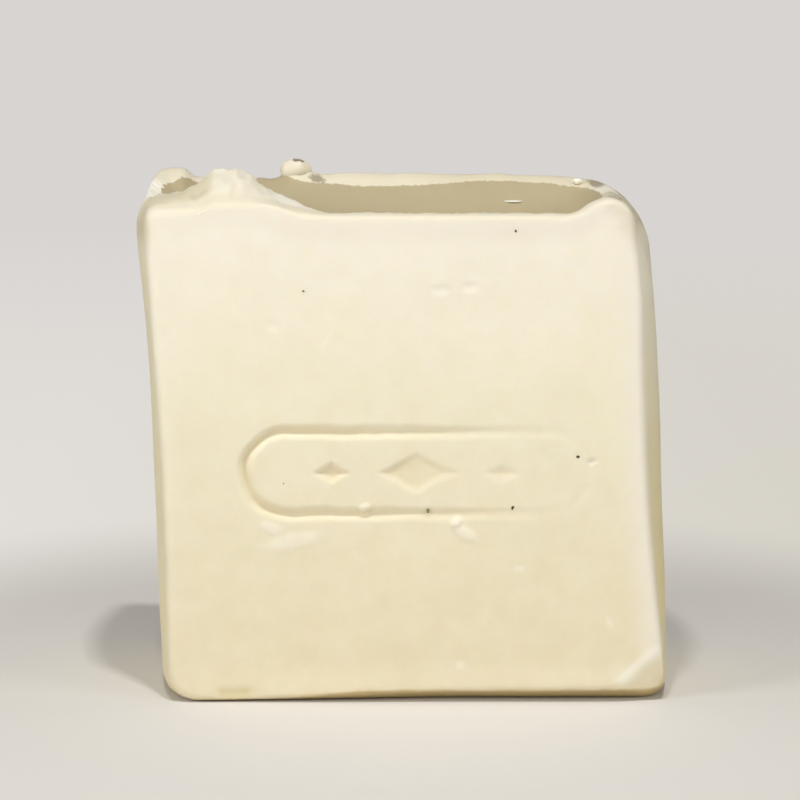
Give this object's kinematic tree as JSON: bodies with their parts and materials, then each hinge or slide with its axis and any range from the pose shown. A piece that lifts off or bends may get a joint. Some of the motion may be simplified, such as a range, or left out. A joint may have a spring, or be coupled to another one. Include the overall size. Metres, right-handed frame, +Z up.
{
  "type": "bar of soap",
  "caption": "Used square bar of hand soap standing on its long edge, with a hollowed, torn top edge, swollen sides, worn corners and a faint stamped oval mark.",
  "frame": {"origin": "middle of the bounding box in plan, on the plane the bar stands on", "axes": "+X to the right across the marked front face, +Y from the front face to the back face, +Z up"},
  "size_m": [0.0581, 0.027, 0.0569],
  "materials": {
    "soap": "dry waxy cream soap, matt to faintly satin"
  },
  "bodies": {
    "root": {"soap_bar": "soap"}
  },
  "joints": []
}
